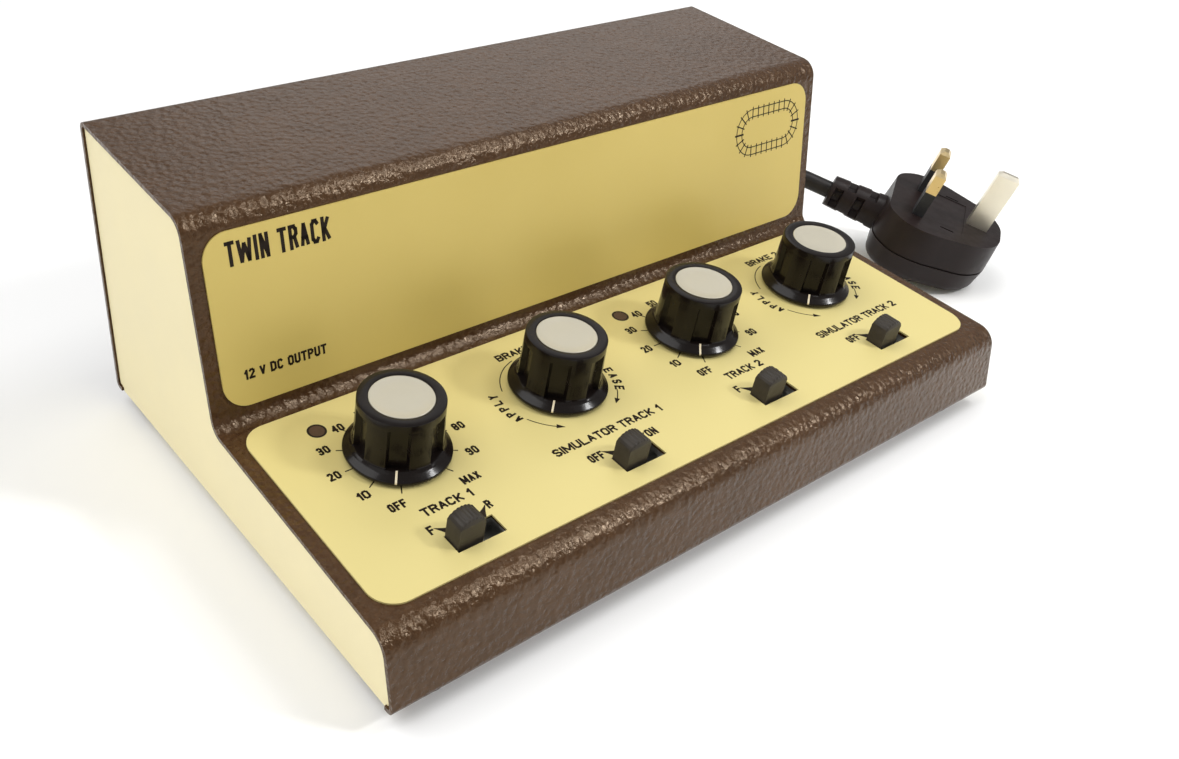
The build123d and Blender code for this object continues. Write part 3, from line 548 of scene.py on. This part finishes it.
class Print:
    """Thin raised print on a panel, gathered into one piece."""

    def __init__(self, panel):
        self.panel = panel
        self.vertices = []
        self.faces = []

    def add(self, outline, faces):
        """A flat shape given as points in metres on the panel, thickened into the panel and out."""
        start = len(self.vertices)
        count = len(outline)
        for out in (-INK, INK):
            self.vertices += [self.panel.at(x, y, out) for x, y in outline]
        self.faces += [tuple(start + index for index in reversed(face)) for face in faces]
        self.faces += [tuple(start + count + index for index in face) for face in faces]
        edges = {}
        for face in faces:
            for a, b in zip(face, face[1:] + face[:1]):
                edges[(a, b)] = True
        for a, b in edges:
            if (b, a) not in edges:
                self.faces.append((start + a, start + b, start + count + b, start + count + a))

    def shape(self, points):
        """A filled convex outline."""
        self.add([(x * MM, y * MM) for x, y in points], [tuple(range(len(points)))])

    def line(self, points, width):
        """A line of an even width through points, in millimetres."""
        left, right = [], []
        for index, (x, y) in enumerate(points):
            before = points[max(0, index - 1)]
            after = points[min(len(points) - 1, index + 1)]
            way = Vector((after[0] - before[0], after[1] - before[1])).normalized()
            side = Vector((-way.y, way.x)) * width / 2
            left.append(((x + side.x) * MM, (y + side.y) * MM))
            right.append(((x - side.x) * MM, (y - side.y) * MM))
        count = len(points)
        faces = [(i, i + count, i + count + 1, i + 1) for i in range(count - 1)]
        self.add(left + right, faces)

    def stroke(self, start, end, width, reach):
        """A straight stroke between two points, drawn on past each of them, in millimetres."""
        way = (end - start).normalized()
        across = Vector((-way.y, way.x)) * width / 2
        start = start - way * reach
        end = end + way * reach
        corners = (start - across, end - across, end + across, start + across)
        self.shape([tuple(corner) for corner in corners])

    def text(self, words, x, y, height, width=None, anchor="middle", turn=0.0, weight=0.215):
        """Condensed capitals of a height, spread to a width if one is given, in millimetres."""
        thick = weight * height
        step = thick + CAPITAL_GAP * height
        bodies = sum(CAPITAL_WIDTHS.get(letter, CAPITAL_WIDTH) for letter in words)
        between = (len(words) - 1) * step + thick
        scale = (width - between) / bodies if width else height
        along = thick / 2 - {"left": 0, "middle": (bodies * scale + between) / 2}[anchor]
        place = Vector((x, y))
        spin = Matrix.Rotation(turn, 2)
        for letter in words:
            wide = CAPITAL_WIDTHS.get(letter, CAPITAL_WIDTH) * scale
            for run in CAPITALS[letter].split("/"):
                points = [Vector((along + int(column) / CAPITAL_GRID * wide,
                                  (int(row) / CAPITAL_GRID - 0.5) * (height - thick)))
                          for column, row in run.split()]
                for before, after in zip(points, points[1:]):
                    straight = before.x == after.x or before.y == after.y
                    reach = thick * (STRAIGHT_REACH if straight else SLANTED_REACH)
                    self.stroke(place + spin @ before, place + spin @ after, thick, reach)
            along += wide + step

    def make(self, name, material):
        add_piece(name, self.vertices, self.faces, material)


# Strokes of each capital on a grid of six steps by six: each point is a column and a row.
CAPITAL_GRID = 6
CAPITALS = {
    " ": "", "A": "00 36 60/12 52", "B": "00 06 46 65 64 43 03/43 62 61 40 00",
    "C": "65 46 26 05 01 20 40 61", "D": "00 06 36 65 61 30 00", "E": "60 00 06 66/03 53",
    "F": "00 06 66/03 53", "I": "00 06",
    "K": "00 06/66 02/23 60", "L": "06 00 60", "M": "00 06 31 66 60", "N": "00 06 60 66",
    "O": "20 01 05 26 46 65 61 40 20", "P": "00 06 46 65 64 43 03", "R": "00 06 46 65 64 43 03/43 60",
    "S": "65 46 26 05 04 23 43 62 61 40 20 01", "T": "06 66/36 30", "U": "06 01 20 40 61 66",
    "V": "06 30 66", "W": "06 10 35 50 66", "X": "00 66/06 60", "Y": "06 33 66/33 30",
    "0": "20 01 05 26 46 65 61 40 20", "1": "04 66 60", "2": "05 26 46 65 64 00 60",
    "3": "05 26 46 65 64 43 23/43 62 61 40 20 01", "4": "50 56 02 62", "5": "66 06 03 24 44 63 61 40 20 01",
    "6": "65 46 26 05 01 20 40 61 62 43 03", "7": "06 66 20",
    "8": "23 04 05 26 46 65 64 43 23 02 01 20 40 61 62 43", "9": "01 20 40 61 65 46 26 05 04 23 63",
}
CAPITAL_WIDTHS = {"I": 0.0, "1": 0.18, "M": 0.58, "W": 0.78, " ": 0.10}
CAPITAL_WIDTH = 0.40
CAPITAL_GAP = 0.08
STRAIGHT_REACH = 0.5
SLANTED_REACH = 0.2


# The dials in millimetres, and in degrees clockwise from the bottom.
LETTER = 2.8
DIAL_START = 30
DIAL_STEP = 30
DIAL_MARKS = ("OFF", "10", "20", "30", "40", "50", "60", "70", "80", "90", "MAX")
MARK_WIDTH = 3.4
MARK_WIDTHS = {"OFF": 4.9, "MAX": 5.5}
MARK_RADIUS = 18.5
MARK_RADII = {"OFF": 19.6, "40": 17.0, "50": 16.6, "60": 16.6, "70": 17.0, "80": 19.0, "90": 19.0,
              "MAX": 20.0}
OFF_SWING = 4
TICK_RADII = (11.0, 15.4)
TICK_WIDTH = 0.32
ARC_WIDTH = 0.28
ARC_STEP = 4
ARROW_HALF_WIDTH = 0.8
ARROW_ANGLE = 8
BRAKE_TITLE_RISE = 17.7
BRAKE_TITLE_WIDTH = 15.0
BRAKE_WORDS = (("APPLY", 19.4, 88, 7.9), ("RELEASE", 17.6, 276, 8.8))
BRAKE_ARCS = (((165, 110), (15.5, 16.0)), ((67, 36), (18.0, 17.5)), ((305, 323), (16.8, 16.8)))
BRAKE_ARROWS = ((17.5, 33, -1), (16.8, 327, 1))


def round_dial(centre, angle, radius):
    """A point at an angle clockwise from the bottom of a dial."""
    turn = math.radians(angle)
    return (centre[0] - radius * math.sin(turn), centre[1] - radius * math.cos(turn))


def print_arc(ink, centre, angles, radii):
    """A line round a dial from one angle to another, and from one radius to another."""
    steps = int(abs(angles[1] - angles[0]) / ARC_STEP)
    points = []
    for step in range(steps + 1):
        share = step / steps
        angle = angles[0] + (angles[1] - angles[0]) * share
        points.append(round_dial(centre, angle, radii[0] + (radii[1] - radii[0]) * share))
    ink.line(points, ARC_WIDTH)


def print_arrow(ink, centre, radius, angle, way):
    """An arrowhead on a dial's arc that ends at an angle; way is 1 for clockwise."""
    tip = round_dial(centre, angle, radius)
    back = angle - way * ARROW_ANGLE
    outer = round_dial(centre, back, radius + ARROW_HALF_WIDTH)
    inner = round_dial(centre, back, radius - ARROW_HALF_WIDTH)
    ink.shape([tip, outer, inner][::way])


def print_round(ink, centre, words, radius, middle, pitch):
    """Words round a dial clockwise, with the tops of the letters outward and pitch degrees apart."""
    for index, letter in enumerate(words):
        angle = middle + (index - (len(words) - 1) / 2) * pitch
        x, y = round_dial(centre, angle, radius)
        ink.text(letter, x, y, LETTER, turn=math.radians(180 - angle))


def print_throttle(ink, centre):
    """Ticks and numbers from OFF round to MAX."""
    for index, mark in enumerate(DIAL_MARKS):
        angle = DIAL_START + DIAL_STEP * index
        ink.line([round_dial(centre, angle, radius) for radius in TICK_RADII], TICK_WIDTH)
        swing = OFF_SWING if mark == "OFF" else 0
        x, y = round_dial(centre, angle + swing, MARK_RADII.get(mark, MARK_RADIUS))
        ink.text(mark, x, y, LETTER, MARK_WIDTHS.get(mark, MARK_WIDTH))


def print_brake(ink, centre, number):
    """BRAKE, and arcs with arrows for applying and releasing it."""
    ink.text(f"BRAKE {number}", centre[0], centre[1] + BRAKE_TITLE_RISE, LETTER, BRAKE_TITLE_WIDTH)
    for words, radius, middle, pitch in BRAKE_WORDS:
        print_round(ink, centre, words, radius, middle, pitch)
    for angles, radii in BRAKE_ARCS:
        print_arc(ink, centre, angles, radii)
    for radius, angle, way in BRAKE_ARROWS:
        print_arrow(ink, centre, radius, angle, way)


# Round a slot: each kind of switch has a title, its width and shift, and a word for each end.
SWITCH_WORDS = {"direction": ("TRACK", 14.8, 0.2, "F", "R"),
                "simulator": ("SIMULATOR TRACK", 38.2, 0.0, "OFF", "ON")}
SWITCH_TITLE_RISE = 11.2
SWITCH_WORD_START = 7.7
SWITCH_WORD_WIDTHS = {1: 1.6, 2: 3.6, 3: 4.9}
SWITCH_WORD_RISES = {1: 5.7, 2: 4.9, 3: 4.9}
DART_TIP = (7.6, 5.9)
DART_ROOT = (4.6, 3.2)
DART_HALF_WIDTHS = ((0, 1.15), (0.25, 0.85), (0.5, 0.52), (0.75, 0.28), (1, 0.06))


def print_dart(ink, centre, side):
    """A spike from a corner of a slot that narrows quickly to a point beyond the slot's end."""
    tip, root = [Vector((centre[0] + side * x, centre[1] + y)) for x, y in (DART_TIP, DART_ROOT)]
    way = (tip - root).normalized()
    across = Vector((-way.y, way.x))
    left, right = [], []
    for share, half in DART_HALF_WIDTHS:
        middle = root + (tip - root) * share
        left.append(tuple((middle + across * half) * MM))
        right.append(tuple((middle - across * half) * MM))
    count = len(left)
    ink.add(left + right, [(i, i + count, i + count + 1, i + 1) for i in range(count - 1)])


def print_switch(ink, centre, kind, number):
    """A title over a slide switch, and a word and a dart at each end of its slot."""
    x, y = centre
    title, title_width, shift, left, right = SWITCH_WORDS[kind]
    ink.text(f"{title} {number}", x + shift, y + SWITCH_TITLE_RISE, LETTER, title_width)
    for side, word in ((-1, left), (1, right)):
        width = SWITCH_WORD_WIDTHS[len(word)]
        rise = SWITCH_WORD_RISES[len(word)]
        ink.text(word, x + side * (SWITCH_WORD_START + width / 2), y + rise, LETTER, width)
        print_dart(ink, centre, side)


def add_control_print(material):
    """The dials' marks round the knobs, and the words over and beside the switches."""
    panel = Panel("control_label")
    ink = Print(panel)
    for channel in CHANNELS:
        x, y = panel.place_of(JOINTS[f"{channel}_turn"]["pos_m"])
        centre = (x / MM, y / MM)
        if channel.startswith("throttle"):
            print_throttle(ink, centre)
        else:
            print_brake(ink, centre, channel[-1])
    for switch in SWITCHES:
        low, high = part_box(f"{switch}_slider")
        travel = JOINTS[f"{switch}_slide"]["range_m"][1]
        x, y = panel.place_of((low + high) / 2)
        print_switch(ink, ((x + travel / 2) / MM, y / MM), *switch.split("_"))
    ink.make("control_print", material)


def oval(width, height, corner, count=10):
    """Points round a rounded oblong, closed, in millimetres."""
    points = []
    for quarter in range(4):
        sx, sy = ((1, 1), (-1, 1), (-1, -1), (1, -1))[quarter]
        for step in range(count + 1):
            angle = math.pi / 2 * (quarter + step / count)
            points.append((sx * (width / 2 - corner) + corner * math.cos(angle),
                           sy * (height / 2 - corner) + corner * math.sin(angle)))
    return points + points[:1]


# The upper label's print: places are from its left edge, top edge or bottom edge.
TITLE_MARGIN = 6.0
TITLE_DROP = 5.8
TITLE_HEIGHT = 6.4
TITLE_WIDTH = 29.0
TITLE_WEIGHT = 0.155
RATING_RISE = 8.4
RATING_WIDTH = 24.0
TRACK_INSET = 19.0
TRACK_DROP = 12.4
RAIL_OVALS = ((30.5, 15.0, 7.4), (25.5, 10.0, 4.9))
RAIL_WIDTH = 0.32
SLEEPER_WIDTH = 0.4
SLEEPER_ENDS = ((23.9, 8.4, 4.1), (32.1, 16.6, 8.2))
SLEEPERS_ALONG = (-5.18, -2.59, 0, 2.59, 5.18)


def print_track(ink, x, y):
    """A plain loop of track: two rails, and sleepers round the bends and along the straights."""
    for width, height, corner in RAIL_OVALS:
        ink.line([(x + px, y + py) for px, py in oval(width, height, corner)], RAIL_WIDTH)
    inner, outer = [oval(*ends, 4) for ends in SLEEPER_ENDS]
    for near, far in zip(inner[:-1], outer[:-1]):
        ink.line([(x + near[0], y + near[1]), (x + far[0], y + far[1])], SLEEPER_WIDTH)
    for along in SLEEPERS_ALONG:
        for side in (-1, 1):
            ends = [(x + along, y + side * height / 2) for _, height, _ in SLEEPER_ENDS]
            ink.line(ends, SLEEPER_WIDTH)


def add_upper_print(material):
    """A title, a line of rating and a loop of track."""
    panel = Panel("upper_label")
    ink = Print(panel)
    right = panel.width / 2 / MM
    top = panel.height / 2 / MM
    left = TITLE_MARGIN - right
    ink.text("TWIN TRACK", left, top - TITLE_DROP, TITLE_HEIGHT, TITLE_WIDTH, "left", weight=TITLE_WEIGHT)
    ink.text("12 V DC OUTPUT", left, RATING_RISE - top, LETTER, RATING_WIDTH, "left")
    print_track(ink, right - TRACK_INSET, top - TRACK_DROP)
    ink.make("upper_print", material)


# Knobs and switch sliders. A knob's rows are (height, radius, share of the flutes' full depth).

FLUTES = 6
FLUTE_HALF = math.radians(14)
FLUTE_EDGE = math.radians(2.2)
FLUTE_FLOOR = 9.7
KNOB_STEPS = 288
CAP_STEPS = 128
KNOB_ROWS = [(1.40, 9.5, 0), (1.40, 13.7, 0), (1.47, 13.88, 0), (1.60, 13.95, 0), (2.10, 13.95, 0),
             (2.25, 13.90, 0), (2.38, 13.76, 0), (3.20, 12.46, 0), (3.40, 12.22, 0), (3.90, 11.80, 0),
             (4.00, 11.73, 0.1), (4.06, 11.69, 1), (4.20, 11.61, 1), (4.50, 11.50, 1), (5.00, 11.40, 1),
             (8.00, 11.32, 1), (12.0, 11.21, 1), (15.3, 11.14, 1), (15.45, 11.13, 0.85),
             (15.6, 11.13, 0.25), (15.7, 11.13, 0), (17.7, 11.10, 0), (17.86, 11.07, 0),
             (17.96, 10.98, 0), (18.0, 10.84, 0), (18.0, 8.55, 0), (17.95, 8.38, 0), (17.80, 8.30, 0),
             (17.32, 8.27, 0)]
CAP_ROWS = [(17.32, 8.2, 0), (17.90, 8.22, 0), (17.98, 8.16, 0), (18.03, 8.05, 0), (18.03, 7.93, 0),
            (17.98, 7.83, 0), (17.96, 5.0, 0), (17.96, 2.0, 0)]


def knob_radius(angle, radius, flute):
    """The knob's radius at an angle: a flat-floored scoop is cut at each flute."""
    if not flute:
        return radius * MM
    period = 2 * math.pi / FLUTES
    away = abs(angle % period - period / 2)
    cut = smooth_step((FLUTE_HALF + FLUTE_EDGE / 2 - away) / FLUTE_EDGE)
    floor = FLUTE_FLOOR / math.cos(min(away, FLUTE_HALF))
    return (radius + (min(floor, radius) - radius) * cut * flute) * MM


def turned_to(channel, pointer):
    """The place and turn of a knob, with its y axis away from its pointer."""
    joint = JOINTS[f"{channel}_turn"]
    normal = -Vector(joint["axis"])
    up = normal.cross(ACROSS)
    place = Matrix((ACROSS, up, normal)).transposed().to_4x4()
    spin = Matrix.Rotation(-math.radians(pointer), 4, "Z")
    return Matrix.Translation(Vector(joint["pos_m"])) @ place @ spin


def set_piece(piece, place, body):
    """Moves a piece made about a knob's axis to its place."""
    piece.matrix_world = place
    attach(piece, body)


def add_knob(channel, materials, pointer):
    """A knob, its metal cap and its pointer line, all turned with the pointer."""
    body = JOINTS[f"{channel}_turn"]["child"]
    place = turned_to(channel, pointer)
    rows = [(z * MM, r, flute) for z, r, flute in KNOB_ROWS]
    vertices, faces = lathe(rows, KNOB_STEPS, knob_radius)
    knob = add_piece(f"{channel}_knob_shell", vertices, faces, materials["knob_plastic"], body,
                     32)
    set_piece(knob, place, body)
    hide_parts(f"{channel}_knob")
    rows = [(z * MM, r * MM, 0) for z, r, _ in CAP_ROWS]
    vertices, faces = lathe(rows, CAP_STEPS, lambda angle, radius, flute: radius)
    cap = add_piece(f"{channel}_cap_disc", vertices, faces, materials["cap_metal"], body,
                    40)
    set_piece(cap, place, body)
    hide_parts(f"{channel}_cap")
    add_pointer(channel, materials["pointer"], place, body)


POINTER_HALF_WIDTH = 0.27
POINTER_DEPTHS = (-0.3, 0.07)
POINTER_PATH = [(11.4, 4.06), (11.72, 4.03), (12.35, 3.32), (13.80, 2.40), (13.97, 2.20)]


def add_pointer(channel, material, place, body):
    """A raised painted line down the slope of the skirt, from below its surface to just above it."""
    low, high = POINTER_DEPTHS
    vertices = []
    for radius, z in POINTER_PATH:
        for side, depth in ((-1, low), (1, low), (1, high), (-1, high)):
            vertices.append((side * POINTER_HALF_WIDTH * MM, -radius * MM, (z + depth) * MM))
    faces = joined_rings(len(POINTER_PATH), 4)
    pointer = add_piece(f"{channel}_pointer", vertices, faces, material, body)
    set_piece(pointer, place, body)


SLIDER_LENGTH = 7.4
SLIDER_HALF_WIDTH = 2.6
SLIDER_CROWN = 2.1
SLIDER_ARCH = 0.93
SLIDER_RIBS = 7
SLIDER_STEPS = 84
RIB_DEPTH = 0.22
RIB_MARGIN = 0.16
SLIDER_EDGE = ((0, -0.45), (0.12, -0.16), (0.35, 0.0))


def slider_outline(top):
    """The crowned and ribbed top of a slider seen from the front, from left to right."""
    points = []
    low = math.sqrt(1 - SLIDER_ARCH ** 2)
    for step in range(SLIDER_STEPS + 1):
        across = -1 + 2 * step / SLIDER_STEPS
        arch = math.sqrt(1 - (SLIDER_ARCH * across) ** 2)
        height = top - SLIDER_CROWN * (1 - (arch - low) / (1 - low))
        edge = smooth_step((1 - abs(across)) / RIB_MARGIN)
        groove = 0.5 + 0.5 * math.cos(math.pi * SLIDER_RIBS * (across + 1))
        points.append((across * SLIDER_LENGTH / 2, height - RIB_DEPTH * edge * groove))
    return points


def add_slider(switch, material):
    """A slide switch's button: a block with a crowned top and ribs across its travel."""
    joint = JOINTS[f"{switch}_slide"]
    low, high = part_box(f"{switch}_slider")
    panel = Panel("control_label")
    x, y = panel.place_of((low + high) / 2)
    corners = [vertex.co for vertex in NODES[f"{switch}_slider"].data.vertices]
    heights = [(corner - panel.middle).dot(panel.normal) / MM for corner in corners]
    foot = min(heights)
    outline = slider_outline(max(heights))
    rows = [(inset - SLIDER_HALF_WIDTH, drop) for inset, drop in SLIDER_EDGE]
    rows += [(-along, drop) for along, drop in reversed(rows)]
    vertices = []
    for along, drop in rows:
        ring = [(across, height + drop) for across, height in outline]
        ring = [(-SLIDER_LENGTH / 2, foot)] + ring + [(SLIDER_LENGTH / 2, foot)]
        vertices += [panel.at(x + across * MM, y + along * MM, height * MM) for across, height in ring]
    faces = joined_rings(len(rows), len(outline) + 2)
    piece = add_piece(f"{switch}_button", vertices, faces, material, joint["child"], 35)
    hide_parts(f"{switch}_slider")


# The plug's small detail

RELIEF_CORE = (3.9, 3.6)
RELIEF_OUTER = (7.0, 6.0)
NOTCH_PITCH = 8.5
NOTCH_WIDTH = 3.0
NOTCH_FIRST = 3.0
NOTCH_EDGE = 0.4
NOTCH_ROUNDS = 2
WEB_HALF_ANGLE = 4
RELIEF_STEPS = 96
RELIEF_SIDES = 120
RELIEF_CAP = [(1.0, 0.35, 0.105), (1.0, 1.6, 0.105)]


def relief_radius(share, along, angle):
    """The relief's radius: two rows of notches, above and below and then at each side."""
    core = RELIEF_CORE[0] + (RELIEF_CORE[1] - RELIEF_CORE[0]) * share
    outer = RELIEF_OUTER[0] + (RELIEF_OUTER[1] - RELIEF_OUTER[0]) * share
    upright = abs(math.sin(angle)) > math.sqrt(0.5)
    start = NOTCH_FIRST + (0 if upright else NOTCH_PITCH / 2)
    middle = (along - start) % NOTCH_PITCH - NOTCH_WIDTH / 2
    in_notch = smooth_step((NOTCH_WIDTH / 2 + NOTCH_EDGE / 2 - abs(middle)) / NOTCH_EDGE)
    turned = abs(math.degrees(angle) % 90 - 45)
    away_from_web = smooth_step((turned - WEB_HALF_ANGLE) / WEB_HALF_ANGLE)
    if along < start - 1 or along > start + NOTCH_PITCH * NOTCH_ROUNDS:
        in_notch = 0
    return outer - (outer - core) * in_notch * away_from_web


def add_relief(material):
    """The plug's strain relief: a tapered sleeve notched in two rows, with a blunt end."""
    length = RELIEF_START - RELIEF_END
    rows = [(step / RELIEF_STEPS, 0.0, 0.0) for step in range(RELIEF_STEPS + 1)] + RELIEF_CAP
    vertices = []
    for share, pulled_in, beyond in rows:
        along = length * share
        for index in range(RELIEF_SIDES):
            angle = 2 * math.pi * index / RELIEF_SIDES
            radius = relief_radius(share, along, angle) - pulled_in
            point = plug_point(radius * math.cos(angle), RELIEF_START - along - beyond,
                               CORD_DEPTH + radius * math.sin(angle))
            vertices.append(point * MM)
    faces = joined_rings(len(rows), RELIEF_SIDES)
    piece = add_piece("plug_strain_relief", vertices, faces, material, "root", 40)
    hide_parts("plug_relief")
    return piece


# The stage

def add_softbox(name, place, target, size, power, colour=(1, 1, 1), height=None):
    """A rectangular lamp that faces a target, square unless a height is given."""
    data = bpy.data.lights.new(name, "AREA")
    data.shape = "RECTANGLE"
    data.size = size
    data.size_y = height or size
    data.energy = power
    data.color = colour
    light = bpy.data.objects.new(name, data)
    bpy.context.collection.objects.link(light)
    light.location = place
    light.rotation_euler = (Vector(target) - Vector(place)).to_track_quat("-Z", "Y").to_euler()


FLOOR_REACH = 6.0


def add_stage(material):
    """A pale floor, a bright even surround and soft lights."""
    mesh = bpy.data.meshes.new("floor")
    corners = [(x * FLOOR_REACH, y * FLOOR_REACH, 0) for x, y in ((-1, -1), (1, -1), (1, 1), (-1, 1))]
    mesh.from_pydata(corners, [], [(0, 1, 2, 3)])
    mesh.materials.append(material)
    floor = bpy.data.objects.new("floor", mesh)
    bpy.context.collection.objects.link(floor)
    world = bpy.data.worlds.new("studio")
    world.use_nodes = True
    background = world.node_tree.nodes["Background"]
    background.inputs["Color"].default_value = (1, 1, 1, 1)
    background.inputs["Strength"].default_value = 0.40
    bpy.context.scene.world = world
    bpy.context.scene.view_settings.view_transform = "Standard"
    sun = bpy.data.lights.new("overhead_sun", "SUN")
    sun.energy = 1.55
    sun.angle = math.radians(50)
    overhead = bpy.data.objects.new("overhead_sun", sun)
    bpy.context.collection.objects.link(overhead)
    overhead.rotation_euler = Vector((0.45, -0.32, -0.85)).to_track_quat("-Z", "Y").to_euler()
    add_softbox("left_softbox", (-0.9, -0.25, 0.6), (0, 0, 0.03), 0.7, 1.0, (1.0, 0.99, 0.97))
    add_softbox("front_softbox", (0.56, -0.62, 0.72), (0, 0, 0.05), 0.14, 4.0)
    add_softbox("overhead_softbox", (0.42, -0.22, 0.92), (0, 0, 0.05), 0.4, 2.4, height=0.2)
    add_softbox("back_softbox", (0.77, 0.98, 0.84), (0, 0, 0.05), 1.0, 2.0)


add_camera()
finishes = make_slot_materials()
finishes["pointer"] = pointer_paint()
ink_finish = print_ink()
cord_piece = add_cord(finishes["cord_sheath"])
paint_nodes(finishes)
relief = add_relief(finishes["plug_plastic"])
POINTERS = {"throttle_1": 36, "brake_1": 47, "throttle_2": 36, "brake_2": 47}
for channel in CHANNELS:
    add_knob(channel, finishes, POINTERS[channel])
for switch in SWITCHES:
    add_slider(switch, finishes["slider_plastic"])
add_control_print(ink_finish)
add_upper_print(ink_finish)
add_stage(floor_white())
